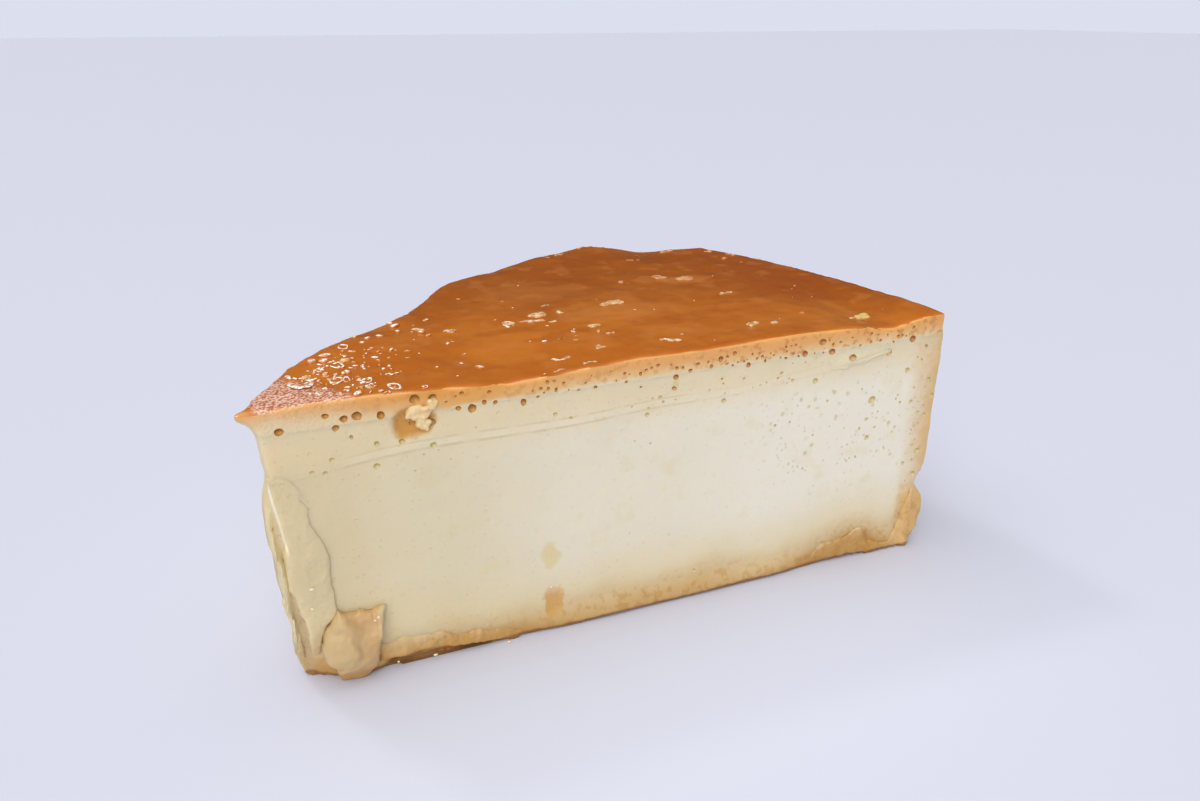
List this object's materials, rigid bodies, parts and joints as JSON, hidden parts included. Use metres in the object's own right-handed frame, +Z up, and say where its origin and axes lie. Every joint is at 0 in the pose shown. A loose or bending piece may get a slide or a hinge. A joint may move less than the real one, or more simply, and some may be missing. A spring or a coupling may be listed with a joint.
{
  "type": "leche flan slice",
  "caption": "Wedge slice of baked custard flan with a soaked caramel layer on top, a bowed rear cut, a curved rim and a broken chunk at its foot.",
  "frame": {"origin": "middle of the slice's box, on the flat surface that it stands on", "axes": "+X along the front cut from the tip to the rim, +Y from the front cut towards the rear cut, +Z up through the caramel"},
  "size_m": [0.088, 0.0552, 0.0342],
  "materials": {
    "custard": "cream baked custard, moist and faintly shiny, tan towards the rim and the foot",
    "caramel": "wet orange-brown caramel, glossy on top, porous and tan at the cut",
    "chunk": "moist broken custard with baked tan skin"
  },
  "bodies": {
    "root": {"custard": "custard", "caramel_layer": "caramel", "broken_chunk": "chunk"}
  },
  "joints": []
}
